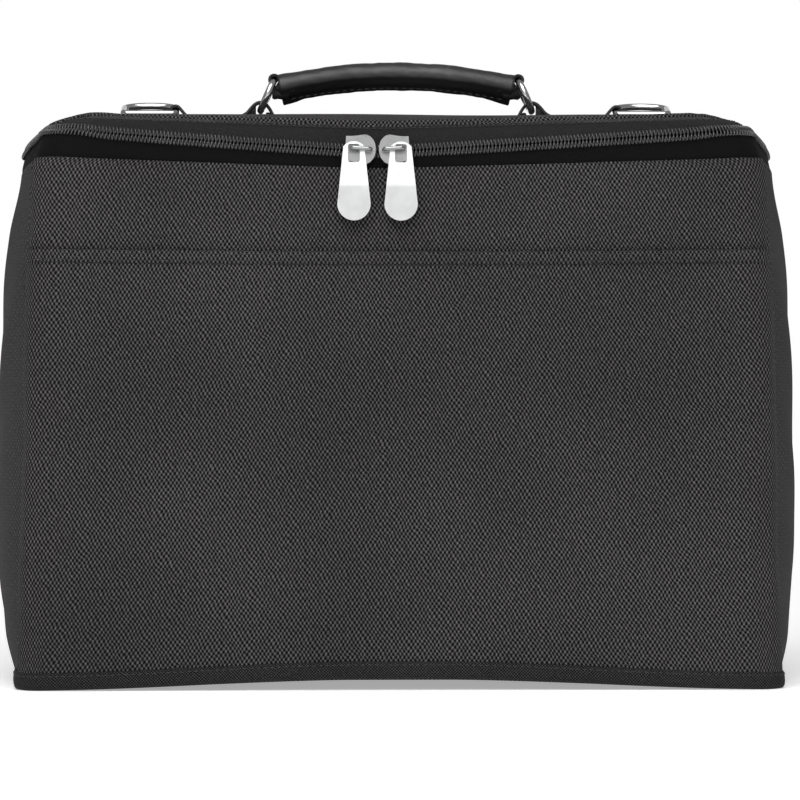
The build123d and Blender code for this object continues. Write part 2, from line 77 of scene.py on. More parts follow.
# Heights of the sewn lines at LOW_X in the front, near its ends and at the corners,
# then how far the line dips in the middle of the sides.
PANEL_TOP = (256.5, 261.4, 262.0, 9.0)
ZIP_LINE = (264.6, 273.6, 275.5, 9.0)
LID_SEAM = (276.7, 281.2, 282.0, 5.0)

SEGMENTS = 8  # corner, front, corner, right side, corner, back, corner, left side


def monotone(xs, ys, x):
    """Monotone cubic through (xs, ys), so the form never overshoots a row."""
    step = np.diff(xs)
    slope = np.diff(ys) / step
    tangent = np.zeros_like(ys)
    same = slope[:-1] * slope[1:] > 0
    tangent[1:-1][same] = 2 / (1 / slope[:-1][same] + 1 / slope[1:][same])
    tangent[0], tangent[-1] = slope[0], slope[-1]
    i = np.clip(np.searchsorted(xs, x) - 1, 0, len(xs) - 2)
    h = step[i]
    t = np.clip((x - xs[i]) / h, 0, 1)
    return (
        ys[i] * (1 + 2 * t) * (1 - t) ** 2
        + tangent[i] * h * t * (1 - t) ** 2
        + ys[i + 1] * t * t * (3 - 2 * t)
        - tangent[i + 1] * h * t * t * (1 - t)
    )


def surface(s, z):
    """Point of the bag's outer face at perimeter place s (0 to 8) and height z."""
    s, z = np.broadcast_arrays(np.asarray(s, float), np.asarray(z, float))
    half, bulge, front, back, radius = (monotone(ROWS[:, 0], ROWS[:, c], z) for c in range(1, 6))
    seg = np.floor(s).astype(int) % SEGMENTS
    t = s - np.floor(s)
    flat, turn = half - radius, t * pi / 2
    side = half + bulge * (1 - (2 * t - 1) ** 2)
    run = -front + radius + t * (back + front - 2 * radius)
    x = np.choose(
        seg,
        [
            -flat - radius * np.cos(turn),
            flat * (2 * t - 1),
            flat + radius * np.sin(turn),
            side,
            flat + radius * np.cos(turn),
            flat * (1 - 2 * t),
            -flat - radius * np.sin(turn),
            -side,
        ],
    )
    y = np.choose(
        seg,
        [
            -front + radius * (1 - np.sin(turn)),
            -front + 0 * t,
            -front + radius * (1 - np.cos(turn)),
            run,
            back - radius * (1 - np.sin(turn)),
            back + 0 * t,
            back - radius * (1 - np.cos(turn)),
            -front + radius + (1 - t) * (back + front - 2 * radius),
        ],
    )
    return np.stack([x, y, z], -1)


def normal(s, z):
    """Outward normal of the bag's outer face."""
    along = surface(s + 1e-3, z) - surface(s - 1e-3, z)
    low, high = np.maximum(z - 0.4, 0.0), np.minimum(z + 0.4, CREST)
    up = surface(s, high) - surface(s, low)
    n = np.cross(along, up)
    return n / np.maximum(np.linalg.norm(n, axis=-1, keepdims=True), 1e-9)


def smooth(x, low, high):
    """0 below low, 1 above high, with a soft step between."""
    t = np.clip((x - low) / (high - low), 0, 1)
    return t * t * (3 - 2 * t)


def sewn_line(s, heights):
    """Height at perimeter place s of a line that dips in the middle of the front and sides."""
    centre, rise, level, sag = heights
    place = surface(s, PLAN_Z)
    x, y = np.abs(place[..., 0]), place[..., 1]
    across = place[..., 0] - LOW_X
    run = RISE_X * np.abs(across) / (RISE_X - np.sign(across) * LOW_X)
    turn, full = 10, 140.3  # how round the low point is, and the curve's own rise by RISE_X
    front = centre + (rise - centre) * (np.sqrt(run * run + turn**2) - turn) / full
    front = front + (level - front) * smooth(x, 146, LEVEL_X)
    dip_front = 56  # the sides' dip starts this far in front of the middle
    dip = np.sin(pi * np.clip((y + dip_front) / (ZIP_END_Y + dip_front), 0, 1))
    dip = sag * dip * smooth(x, 160, LEVEL_X)
    return np.where(y > ZIP_END_Y, level, front - dip)


def ripple(a, b, seed, short, long, waves=9):
    """Smooth repeatable unevenness, about -1 to 1, with waves of short to long millimetres."""
    rng = np.random.default_rng(seed)
    total = 0
    for _ in range(waves):
        size = short + (long - short) * rng.random()
        turn, phase = rng.random() * pi, rng.random() * 2 * pi
        total = total + np.sin((a * cos(turn) + b * sin(turn)) * 2 * pi / size + phase)
    return total / sqrt(waves)


# ---- mesh helpers ----------------------------------------------------------------------------
def link_mesh(name, points, faces, uvs=None):
    """Mesh object from millimetre points; uvs is one (u, v) in millimetres for each point."""
    mesh = bpy.data.meshes.new(name)
    mesh.from_pydata((np.asarray(points) * MM).tolist(), [], faces)
    if uvs is not None:
        layer = mesh.uv_layers.new(name="weave")
        corners = np.zeros(len(mesh.loops), int)
        mesh.loops.foreach_get("vertex_index", corners)
        layer.data.foreach_set("uv", np.asarray(uvs, np.float32)[corners].ravel())
    mesh.polygons.foreach_set("use_smooth", [True] * len(mesh.polygons))
    mesh.validate()
    obj = bpy.data.objects.new(name, mesh)
    bpy.context.scene.collection.objects.link(obj)
    return obj


def grid_faces(rows, cols, start=0, wrap=False, flip=False):
    """Quads of a grid of points, row by row; wrap joins the last column to the first."""
    faces = []
    for r in range(rows - 1):
        for c in range(cols if wrap else cols - 1):
            a, b = start + r * cols + c, start + r * cols + (c + 1) % cols
            quad = (a, b, b + cols, a + cols)
            faces.append(quad[::-1] if flip else quad)
    return faces


def arc_lengths(points, axis):
    """Distance from the first point, measured through the points along an axis of the grid."""
    step = np.linalg.norm(np.diff(points, axis=axis), axis=-1)
    pad = np.zeros_like(np.take(step, [0], axis=axis))
    return np.cumsum(np.concatenate([pad, step], axis=axis), axis=axis)


def grid_normals(points):
    """Unit normals of a grid of points."""
    across = np.gradient(points, axis=1)
    up = np.gradient(points, axis=0)
    n = np.cross(across, up)
    return n / np.maximum(np.linalg.norm(n, axis=-1, keepdims=True), 1e-9)


def cloth_piece(name, outer, thick, wrap=False):
    """A cloth of real thickness from its outer face, a grid of points."""
    rows, cols = outer.shape[:2]
    inner = outer - grid_normals(outer) * thick
    u = arc_lengths(outer, 1)
    u = np.repeat(u[rows // 2][None, :] - u[rows // 2, cols // 2], rows, axis=0)
    v = arc_lengths(outer, 0)
    uv = np.stack([u, v], -1).reshape(-1, 2)
    count = rows * cols
    faces = grid_faces(rows, cols, wrap=wrap)
    faces += grid_faces(rows, cols, start=count, wrap=wrap, flip=True)
    bottom = [*range(cols)]
    top = [(rows - 1) * cols + c for c in range(cols)]
    edges = [(top, True), (bottom, False)]
    if not wrap:
        edges += [([r * cols for r in range(rows)], True)]
        edges += [([r * cols + cols - 1 for r in range(rows)], False)]
    for edge, flip in edges:
        closed = wrap and edge in (top, bottom)
        for k in range(len(edge) if closed else len(edge) - 1):
            a, b = edge[k], edge[(k + 1) % len(edge)]
            quad = (a, b, b + count, a + count)
            faces.append(quad if flip else quad[::-1])
    points = np.concatenate([outer.reshape(-1, 3), inner.reshape(-1, 3)])
    return link_mesh(name, points, faces, np.concatenate([uv, uv]))


def frames_along(path):
    """Unit tangents of a path of points."""
    t = np.gradient(path, axis=0)
    return t / np.maximum(np.linalg.norm(t, axis=1, keepdims=True), 1e-9)


def tube(name, path, up, radius, sides=8, squash=1.0, closed=False):
    """A round or oval cord along a path; up is one direction for each point."""
    path = np.asarray(path, float)
    t = frames_along(path)
    if closed:
        t = np.roll(path, -1, 0) - np.roll(path, 1, 0)
        t /= np.linalg.norm(t, axis=1, keepdims=True)
    side = np.cross(t, up)
    side /= np.maximum(np.linalg.norm(side, axis=1, keepdims=True), 1e-9)
    lift = np.cross(side, t)
    angle = np.arange(sides) * 2 * pi / sides
    ring = path[:, None] + radius * (
        side[:, None] * np.cos(angle)[None, :, None]
        + lift[:, None] * squash * np.sin(angle)[None, :, None]
    )
    rows = len(path)
    u = np.repeat(arc_lengths(path, 0)[:, None], sides, 1)
    v = np.repeat((angle * radius)[None, :], rows, 0)
    faces = grid_faces(rows, sides, wrap=True, flip=True)
    if closed:
        last = (rows - 1) * sides
        for c in range(sides):
            d = (c + 1) % sides
            faces.append((last + d, last + c, c, d))
    else:
        faces.append(tuple(range(sides)))
        faces.append(tuple(range((rows - 1) * sides, rows * sides))[::-1])
    return link_mesh(name, ring.reshape(-1, 3), faces, np.stack([u, v], -1).reshape(-1, 2))


def stitches(name, path, normals, length=2.6, gap=1.1, radius=0.32, lift=0.1):
    """A row of separate thread stitches sunk along a path."""
    path, normals = np.asarray(path, float), np.asarray(normals, float)
    at = arc_lengths(path, 0)
    points, faces = [], []
    place = gap
    sides, rings = 6, 5
    while place + length < at[-1]:
        spots = place + length * np.linspace(0, 1, rings)
        centre = np.stack([np.interp(spots, at, path[:, k]) for k in range(3)], 1)
        up = np.stack([np.interp(spots, at, normals[:, k]) for k in range(3)], 1)
        bow = np.sin(np.linspace(0, pi, rings))
        centre = centre + up * (lift + radius * (bow[:, None] - 0.75))
        along = frames_along(centre)
        side = np.cross(along, up)
        size = radius * (0.45 + 0.55 * bow)
        start = len(points)
        for k in range(rings):
            for c in range(sides):
                a = c * 2 * pi / sides
                points.append(centre[k] + size[k] * (side[k] * cos(a) + up[k] * sin(a)))
        for k in range(rings - 1):
            for c in range(sides):
                d = (c + 1) % sides
                a, b = start + k * sides, start + (k + 1) * sides
                faces.append((a + d, a + c, b + c, b + d))
        faces.append(tuple(start + c for c in range(sides)))
        faces.append(tuple(start + (rings - 1) * sides + c for c in range(sides))[::-1])
        place += length + gap
    return link_mesh(name, points, faces)


def finish_piece(obj, material, body, slot, *replaced):
    """Material, body and replaced nodes; slot is not used. A body can be the two ends of a fold's
    crease; the piece is then only baked in place, with no fold.
    """
    obj.data.materials.clear()
    obj.data.materials.append(material)
    if isinstance(body, str):
        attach(obj, body)
    else:
        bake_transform(obj)
    if replaced:
        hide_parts(*replaced)
    return obj


# ---- materials -------------------------------------------------------------------------------
class Nodes:
    """Short calls for building one material's node tree."""

    def __init__(self, name):
        self.material = bpy.data.materials.new(name)
        self.material.use_nodes = True
        self.tree = self.material.node_tree
        self.shader = self.tree.nodes["Principled BSDF"]

    def node(self, kind, **values):
        made = self.tree.nodes.new(kind)
        for key, value in values.items():
            setattr(made, key, value)
        return made

    def put(self, socket, value):
        if isinstance(value, bpy.types.NodeSocket):
            self.tree.links.new(value, socket)
        else:
            socket.default_value = value

    def math(self, operation, a, b=0.0, clamp=False):
        made = self.node("ShaderNodeMath", operation=operation, use_clamp=clamp)
        self.put(made.inputs[0], a)
        self.put(made.inputs[1], b)
        return made.outputs[0]

    def uv(self):
        made = self.node("ShaderNodeUVMap", uv_map="weave")
        split = self.node("ShaderNodeSeparateXYZ")
        self.put(split.inputs[0], made.outputs[0])
        return split.outputs[0], split.outputs[1], made.outputs[0]

    def noise(self, scale, detail=3.0, vector=None, roughness=0.5):
        made = self.node("ShaderNodeTexNoise")
        if vector is None:
            vector = self.node("ShaderNodeTexCoord").outputs["Object"]
        self.put(made.inputs["Vector"], vector)
        self.put(made.inputs["Scale"], scale)
        self.put(made.inputs["Detail"], detail)
        self.put(made.inputs["Roughness"], roughness)
        return made.outputs["Fac"]

    def mix(self, amount, a, b):
        """A Mix node; sockets 6 and 7 and output 2 are its colours."""
        made = self.node("ShaderNodeMix", data_type="RGBA")
        self.put(made.inputs[0], amount)
        self.put(made.inputs[6], a)
        self.put(made.inputs[7], b)
        return made.outputs[2]

    def span(self, value, low, high, out_low=0.0, out_high=1.0):
        """Maps low to high onto out_low to out_high."""
        made = self.node("ShaderNodeMapRange")
        for k, item in enumerate((value, low, high, out_low, out_high)):
            self.put(made.inputs[k], item)
        return made.outputs[0]

    def bump(self, height, strength, distance, below=None):
        made = self.node("ShaderNodeBump")
        made.inputs["Strength"].default_value = strength
        made.inputs["Distance"].default_value = distance
        self.put(made.inputs["Height"], height)
        if below is not None:
            self.put(made.inputs["Normal"], below)
        return made.outputs[0]

    def set(self, **values):
        for key, value in values.items():
            self.put(self.shader.inputs[key.replace("_", " ")], value)


def grey(value, tint=0.975):
    """A near-neutral grey; dyed cloth leans slightly to purple."""
    return (value * (2.0 - tint) * 0.995, value * tint, value, 1.0)


def woven(name, pitch, dark, light, roughness, depth, fuzz=0.25, sheen=0.006, tall=1.0):
    """Cloth with a plain or basket weave.

    pitch is the repeat in millimetres and tall is the height of a repeat over its width.
    """
    n = Nodes(name)
    u, v, vector = n.uv()
    wobble = n.math("MULTIPLY", n.noise(0.11, 2.0, vector), pitch * 1.1)
    u = n.math("ADD", u, wobble)
    v = n.math("ADD", v, wobble)
    wave_u = n.math("SINE", n.math("MULTIPLY", u, 2 * pi / pitch))
    wave_v = n.math("SINE", n.math("MULTIPLY", v, 2 * pi / (pitch * tall)))
    cells = n.math("MULTIPLY", wave_u, wave_v)
    floats = n.math("POWER", n.span(cells, -0.55, 0.9), 1.25)
    grain = n.noise(0.9 / pitch, 4.0, vector, 0.65)
    cloud = n.noise(9.0, 3.0)
    shade = n.math("MULTIPLY", floats, n.span(grain, 0.3, 0.7, 1 - fuzz * 1.6, 1 + fuzz))
    shade = n.math("MULTIPLY", shade, n.span(cloud, 0.35, 0.65, 0.86, 1.12))
    n.set(Base_Color=n.mix(shade, grey(dark), grey(light)))
    n.set(Roughness=n.span(grain, 0.2, 0.8, roughness - 0.08, roughness + 0.08))
    n.set(Normal=n.bump(n.math("ADD", cells, n.math("MULTIPLY", grain, 0.8)), 0.7, depth * MM))
    n.shader.inputs["Sheen Weight"].default_value = sheen
    n.shader.inputs["Sheen Roughness"].default_value = 0.45
    n.shader.inputs["Specular IOR Level"].default_value = 0.05
    return n.material


def ribbed(name, pitch, dark, light, roughness=0.6):
    """Webbing with fine ribs across its length."""
    n = Nodes(name)
    u, v, vector = n.uv()
    rib = n.math("SINE", n.math("MULTIPLY", u, 2 * pi / pitch))
    cross = n.math("SINE", n.math("MULTIPLY", v, 2 * pi / (pitch * 0.9)))
    cells = n.math("MULTIPLY", rib, cross)
    grain = n.noise(1.4, 4.0, vector, 0.6)
    shade = n.span(n.math("ADD", cells, grain), -0.2, 1.4)
    n.set(Base_Color=n.mix(shade, grey(dark), grey(light)), Roughness=roughness)
    n.set(Normal=n.bump(n.math("ADD", cells, grain), 0.8, 0.25 * MM))
    n.shader.inputs["Sheen Weight"].default_value = 0.04
    return n.material


def moulded(name, colour, roughness, grain_size=1200.0, depth=0.02):
    """Moulded plastic with a fine grain."""
    n = Nodes(name)
    grain = n.noise(grain_size, 3.0)
    worn = n.noise(60.0, 4.0)
    n.set(Base_Color=n.mix(n.span(worn, 0.4, 0.65), grey(colour), grey(colour * 1.5)))
    n.set(Roughness=n.span(grain, 0.3, 0.7, roughness - 0.06, roughness + 0.08))
    n.set(Normal=n.bump(grain, 0.3, depth * MM))
    return n.material


def leather(name):
    """Dark smooth leather with pores and faint creases."""
    n = Nodes(name)
    place = n.node("ShaderNodeTexCoord").outputs["Object"]
    pores = n.node("ShaderNodeTexVoronoi", feature="DISTANCE_TO_EDGE")
    n.put(pores.inputs["Vector"], place)
    pores.inputs["Scale"].default_value = 1500.0
    grain = n.span(pores.outputs["Distance"], 0.0, 0.12)
    crease = n.noise(160.0, 5.0, place, 0.6)
    tone = n.noise(28.0, 3.0, place)
    n.set(Base_Color=n.mix(n.span(tone, 0.3, 0.7), grey(0.014), grey(0.026)))
    n.set(Roughness=n.span(crease, 0.3, 0.7, 0.36, 0.52))
    low = n.bump(crease, 0.25, 0.5 * MM)
    n.set(Normal=n.bump(grain, 0.22, 0.08 * MM, low))
    n.shader.inputs["Specular IOR Level"].default_value = 0.55
    return n.material


def metal(name, tone, roughness, brushed):
    """Plated metal, brushed along Z or cast."""
    n = Nodes(name)
    place = n.node("ShaderNodeTexCoord").outputs["Object"]
    stretch = n.node("ShaderNodeMapping")
    n.put(stretch.inputs["Vector"], place)
    scale = (2600.0, 2600.0, 90.0) if brushed else (400.0, 400.0, 400.0)
    stretch.inputs["Scale"].default_value = scale
    streak = n.noise(1.0, 4.0, stretch.outputs[0], 0.6)
    smear = n.noise(120.0, 3.0, place)
    n.set(Base_Color=n.mix(n.span(smear, 0.3, 0.7), grey(tone, 1.0), grey(tone * 0.88, 1.0)))
    n.set(Roughness=n.span(streak, 0.25, 0.75, roughness - 0.06, roughness + 0.08))
    n.set(Normal=n.bump(streak, 0.25 if brushed else 0.08, 0.03 * MM))
    n.shader.inputs["Metallic"].default_value = 1.0
    return n.material


WEAVE = 2.08  # repeat of the basket weave across the cloth
BALLISTIC = woven("ballistic_weave", WEAVE, 0.003, 0.128, 0.72, 0.42, tall=1.5)
# The lid's copy of the ballistic weave is lighter than the same cloth elsewhere: painted light on
# the top, which faces the lamps.
LID_PAINTED_LIGHT_BALLISTIC = woven("lid_ballistic_weave_painted_light", WEAVE, 0.003, 0.150, 0.72, 0.42, tall=1.5)
PLAIN = woven("plain_weave", 0.95, 0.009, 0.05, 0.74, 0.14, fuzz=0.4)
TAPE_MAT = woven("zip_tape_weave", 0.9, 0.003, 0.012, 0.8, 0.1, fuzz=0.35)
BINDING_MAT = woven("binding_weave", 1.5, 0.003, 0.07, 0.72, 0.25)
LINING_MAT = woven("lining_weave", 0.6, 0.018, 0.034, 0.55, 0.04, fuzz=0.2)
WEBBING = ribbed("ribbed_webbing", 1.1, 0.008, 0.03)
THREAD = ribbed("twisted_thread", 0.5, 0.012, 0.04)
COIL = moulded("coil_nylon", 0.045, 0.22)
LEATHER = leather("grip_leather")
SATIN = metal("satin_nickel", 0.86, 0.34, True)
CAST = metal("cast_nickel", 0.36, 0.3, False)
POLISHED = metal("polished_nickel", 0.72, 0.12, False)


# ---- body panels -----------------------------------------------------------------------------
def all_round(*counts):
    """Perimeter places all the way round, with one count of points for each segment."""
    return np.concatenate([np.linspace(k, k + 1, c)[:-1] for k, c in enumerate(counts)])


def band(s, low, high, rows, out):
    """Grid of points between two heights at perimeter places s, moved out along the normal."""
    low, high = np.broadcast_to(low, s.shape), np.broadcast_to(high, s.shape)
    v = np.linspace(0, 1, rows)[:, None]
    z = low[None, :] + (high - low)[None, :] * v
    grid_s = np.repeat(s[None, :], rows, 0)
    base = surface(grid_s, z)
    n = normal(grid_s, z)
    return base + n * out(grid_s, v + 0 * grid_s, base)[..., None]


# Thicknesses of the cloths as they are made up here.
BODY_CLOTH = 1.6  # front, back and sides, cloth and facing together
OUTER_CLOTH = 1.4  # bottom and lid
LIGHT_CLOTH = 0.9  # pocket, zip tape, border and hinge
TAB_CLOTH = 0.8
LINING_CLOTH = 0.7
BINDING_CLOTH = 0.5
HEM_CLOTH = 0.35

FOOT = 1.0  # height of the panels' lower edges above the floor
SEAM_DIP = 1.6  # the front and back turn in this far at the corner seams
SEAM_IN = 0.80  # the front corner seams run this far round the corner arcs
front_s = np.concatenate(
    [
        np.linspace(1 - SEAM_IN, 1, 14)[:-1],
        np.linspace(1, 2, 150)[:-1],
        np.linspace(2, 2 + SEAM_IN, 14),
    ]
)
back_s = front_s + 4
right_s = np.concatenate(
    [
        np.linspace(2 + SEAM_IN, 3, 5)[:-1],
        np.linspace(3, 4, 60)[:-1],
        np.linspace(4, 5 - SEAM_IN, 5),
    ]
)
left_s = right_s + 4


def edge_fade(t, margin):
    """0 at both ends of 0 to 1, 1 past the margin."""
    return smooth(t, 0, margin) * smooth(1 - t, 0, margin)


def along(grid_s, s):
    return (grid_s - s[0]) / (s[-1] - s[0])


def base_arch(x, depth=5.5):
    """How far the bottom edge lifts off the floor in the middle."""
    return depth * (1 - smooth(np.abs(x), 25, 186) ** 0.8)


front_x = surface(front_s, 200.0)[:, 0]


def front_out(grid_s, v, base):
    a = along(grid_s, front_s)
    puff = 1.2 * edge_fade(a, 0.1) * edge_fade(v, 0.25)
    seam = SEAM_DIP * (1 - edge_fade(a, 0.025))
    return puff - seam + 0.25 * ripple(base[..., 0], base[..., 2], 3, 40, 130)


front = band(front_s, base_arch(front_x) + FOOT, sewn_line(front_s, PANEL_TOP), 90, front_out)
front_cloth = cloth_piece("front_cloth", front, BODY_CLOTH)
finish_piece(front_cloth, BALLISTIC, "bag", "ballistic_nylon", "front_panel", "front_foam")


def back_out(grid_s, v, base):
    a = along(grid_s, back_s)
    puff = edge_fade(a, 0.1) * edge_fade(v, 0.2)
    seam = SEAM_DIP * (1 - edge_fade(a, 0.025))
    return puff - seam + 0.3 * ripple(base[..., 0], base[..., 2], 5, 50, 150)


back = band(back_s, base_arch(front_x) + FOOT, 264.0, 84, back_out)
back_cloth = cloth_piece("back_cloth", back, BODY_CLOTH)
finish_piece(back_cloth, BALLISTIC, "bag", "ballistic_nylon", "back_panel", "back_foam")


def gusset_out(grid_s, v, base):
    a = np.clip(np.abs(base[..., 1]) / 84, 0, 1)
    near = smooth(np.arange(grid_s.shape[1]) / (grid_s.shape[1] - 1), 0, 0.06)
    near = near * near[::-1]
    soft = 0.7 * ripple(base[..., 1], base[..., 2], 8, 35, 110)
    return -1.8 * (1 - near)[None, :] + soft * (1 - a * 0.6)


def gusset(side, s):
    grid = band(s, FOOT, sewn_line(s, PANEL_TOP), 84, gusset_out)
    piece = cloth_piece(f"{side}_gusset_cloth", grid, BODY_CLOTH)
    finish_piece(piece, BALLISTIC, "bag", "ballistic_nylon", f"{side}_gusset", f"{side}_foam")


gusset("right", right_s)
gusset("left", left_s)


# ---- bottom ----------------------------------------------------------------------------------
def plan_uv(obj, deep=1.0, down=0.0):
    """Lays the weave out along the bag's width and depth, and down a slope by its height."""
    uv = obj.data.uv_layers[0].data
    for loop in obj.data.loops:
        co = obj.data.vertices[loop.vertex_index].co
        uv[loop.index].uv = (co.x / MM, co.y / MM * deep - co.z / MM * down)


def bottom_cloth():
    s = np.linspace(0, 8, 321)[:-1]
    rim = surface(s, 0.0)
    rings = []
    for k in np.linspace(1, 0.02, 26):
        ring = rim * np.array([k, k, 1.0])
        ring[:, 2] = base_arch(rim[:, 0] * k, 4.5) * smooth(np.abs(ring[:, 1]), 30, 92) + 0.6
        rings.append(ring)
    grid = np.array(rings)
    obj = cloth_piece("bottom_cloth", grid[::-1], OUTER_CLOTH, wrap=True)
    plan_uv(obj)
    finish_piece(obj, BALLISTIC, "bag", "ballistic_nylon", "bottom_panel", "base_board")


bottom_cloth()


def binding():
    """Folded tape sewn round the bottom edge."""
    s = all_round(12, 150, 12, 60, 12, 150, 12, 60)
    foot = surface(s, FOOT)
    n = normal(s, FOOT)
    arch = base_arch(foot[:, 0])[:, None] * smooth(np.abs(foot[:, 1]), 60, 94)[:, None]
    wave = 0.25 * ripple(foot[:, 0], foot[:, 1], 12, 14, 50)[:, None]
    up = np.array([0, 0, 1.0])
    profile = [(-3.2, 0.2), (-0.8, 0.0), (0.9, 0.3), (1.9, 1.4), (2.15, 3.4)]  # out, up
    profile += [(2.0, 5.8), (1.7, 7.6), (1.0, 8.6), (0.2, 8.7)]
    flat = np.array([1, 1, 0])
    grid = np.array(
        [foot * flat + n * flat * (o + wave * (h > 0.5)) + up * (h + arch) for o, h in profile]
    )
    obj = cloth_piece("bottom_binding_tape", grid, BINDING_CLOTH, wrap=True)
    finish_piece(obj, BINDING_MAT, "bag", "plain_nylon", "bottom_binding")
    line = foot * flat + n * flat * (1.75 + wave) + up * (7.0 + arch)
    line = np.concatenate([line, line[:1]])
    sewn = stitches("binding_stitches", line, np.concatenate([n, n[:1]]), 2.4, 1.0, 0.3)
    finish_piece(sewn, THREAD, "bag", "plain_nylon")


binding()


# ---- front pocket ----------------------------------------------------------------------------
def pocket_out(grid_s, v, base):
    a = along(grid_s, front_s)
    x, z = base[..., 0], base[..., 2]
    inset = edge_fade(a, 0.02)
    puff = (2.4 * edge_fade(a, 0.16) + 0.6) * smooth(v, 0, 0.25)
    puff = puff * (0.55 + 0.45 * smooth(1 - v, 0, 0.3))
    soft = 0.5 * ripple(x, z, 21, 60, 180) + 0.16 * ripple(x, z, 22, 18, 50)
    return 0.4 + (0.8 + puff) * inset + soft * inset * smooth(1 - v, -0.05, 0.1) - 1.4 * (1 - inset)


pocket_top = HEM_Z - 1.4 * (1 - (front_x / 190) ** 2)
pocket = band(front_s, base_arch(front_x) + 1.5, pocket_top, 80, pocket_out)
pocket_cloth = cloth_piece("front_pocket_cloth", pocket, LIGHT_CLOTH)
finish_piece(pocket_cloth, BALLISTIC, "bag", "ballistic_nylon", "front_pocket")


def hem():
    """Turned-over top of the pocket with its two rows of stitches."""
    top, low = pocket[-1], pocket[-3]
    direction = top - low
    direction /= np.linalg.norm(direction, axis=1, keepdims=True)
    out = grid_normals(pocket)[-2]
    profile = [(-6.2, 0.0), (-6.0, 0.55), (-4.5, 0.75), (-2.5, 0.85), (-0.6, 0.9)]  # along, out
    profile += [(0.25, 0.5), (0.3, -0.4), (-0.4, -1.3), (-5.5, -1.4)]
    grid = np.array([top + direction * d + out * o for d, o in profile])
    obj = cloth_piece("pocket_hem_fold", grid, HEM_CLOTH)
    finish_piece(obj, BALLISTIC, "bag", "ballistic_nylon", "pocket_hem")
    for k, d in enumerate((-1.3, -4.9)):
        line = top + direction * d + out * 0.75
        sewn = stitches(f"pocket_hem_stitches_{k}", line[4:-4], out[4:-4], 2.2, 0.9, 0.26)
        finish_piece(sewn, THREAD, "bag", "plain_nylon")


hem()


# ---- zip band --------------------------------------------------------------------------------
def zip_places():
    """Perimeter places along the zip, from its left end round the front to its right end."""
    s = np.concatenate(
        [np.linspace(7, 8, 60)[:-1] - 8, np.linspace(0, 1, 30)[:-1], np.linspace(1, 2, 220)[:-1],
         np.linspace(2, 3, 30)[:-1], np.linspace(3, 4, 60)]
    )
    s = np.mod(s, 8)
    behind = (s >= 3) & (surface(s, ZIP_PLAN_Z)[:, 1] > ZIP_END_Y)
    return s[~behind]


zip_s = zip_places()
zip_line_z = sewn_line(zip_s, ZIP_LINE)


def tape_out(grid_s, v, base):
    return -1.5 * (1 - v) ** 2 + 0.2 * ripple(base[..., 0], base[..., 1], 31, 25, 80) * v * (1 - v)


lower_tape = band(zip_s, sewn_line(zip_s, PANEL_TOP) - 2.0, zip_line_z - 0.8, 14, tape_out)
tape_cloth = cloth_piece("lower_zip_tape_cloth", lower_tape, LIGHT_CLOTH)
finish_piece(tape_cloth, TAPE_MAT, "bag", "zip_tape", "lower_zip_tape")


def border_out(grid_s, v, base):
    arch = np.sin(pi * v)
    return 0.4 * arch + 0.15 * ripple(base[..., 0], base[..., 1], 33, 20, 70) * arch


border = band(zip_s, zip_line_z + 0.8, sewn_line(zip_s, LID_SEAM) + 0.6, 12, border_out)
border_cloth = cloth_piece("lid_border_cloth", border, LIGHT_CLOTH)
finish_piece(border_cloth, PLAIN, "lid", "plain_nylon", "lid_border")

COIL_PITCH = 1.8


def coil(name, side, body, node):
    """One half of the zip: a continuous coil of moulded filament, below (-1) or above (1)."""
    centre = surface(zip_s, zip_line_z)
    n = normal(zip_s, zip_line_z)
    t = frames_along(centre)
    across = np.cross(n, t)
    at = arc_lengths(centre, 0)
    turns = int(at[-1] / COIL_PITCH)
    per = 12
    place = np.linspace(0, turns * COIL_PITCH, turns * per + 1)
    turn = np.arange(turns * per + 1) * 2 * pi / per

    def sample(values):
        return np.stack([np.interp(place, at, values[:, k]) for k in range(3)], 1)

    c, nn, cross = sample(centre), sample(n), sample(across)
    width, height = 1.5, 0.8
    path = (
        c
        + cross * (side * (1.62 + width * np.cos(turn)))[:, None]
        + nn * (0.75 + height * np.sin(turn))[:, None]
    )
    obj = tube(name, path, nn, 0.42, sides=6)
    finish_piece(obj, COIL, body, "zip_coil", node)


coil("lower_coil_teeth", -1, "bag", "lower_zip_coil")
coil("upper_coil_teeth", 1, "lid", "upper_zip_coil")


# ---- lid -------------------------------------------------------------------------------------
def lid_grid(low_at, rows=34):
    """Rings from the seam up over the crest, all round the lid."""
    s = all_round(20, 150, 20, 60, 20, 150, 20, 60)
    low = sewn_line(s, LID_SEAM) + low_at
    v = np.linspace(0, 1, rows) ** 0.8
    z = low[None, :] + (CREST - low)[None, :] * v[:, None]
    ss = np.repeat(s[None, :], rows, 0)
    grid = surface(ss, z)
    top = grid[-1]
    spine = np.clip(top, [-140, -20, 0], [140, -20, 999])
    caps = [top + (spine - top) * k + [0, 0, 0.25 * k] for k in (0.35, 0.7, 0.97, 0.999)]
    return np.concatenate([grid, np.array(caps)])


LID_WEAVE = {"deep": 1.04, "down": 0.8}  # the lid's slope takes up more cloth than its plan


def lid_cover():
    grid = lid_grid(0.0)
    soft = 0.35 * ripple(grid[..., 0], grid[..., 1], 41, 40, 120)
    fade = smooth(np.arange(len(grid)) / (len(grid) - 1), 0.02, 0.3)[:, None]
    grid = grid + np.array([0, 0, 1.0]) * (soft * fade)[..., None]
    obj = cloth_piece("lid_cloth", grid, OUTER_CLOTH, wrap=True)
    plan_uv(obj, **LID_WEAVE)
    # The lid cloth gets the lighter copy of the weave: painted light.
    finish_piece(obj, LID_PAINTED_LIGHT_BALLISTIC, "lid", "ballistic_nylon", "lid_panel", "lid_foam")


lid_cover()


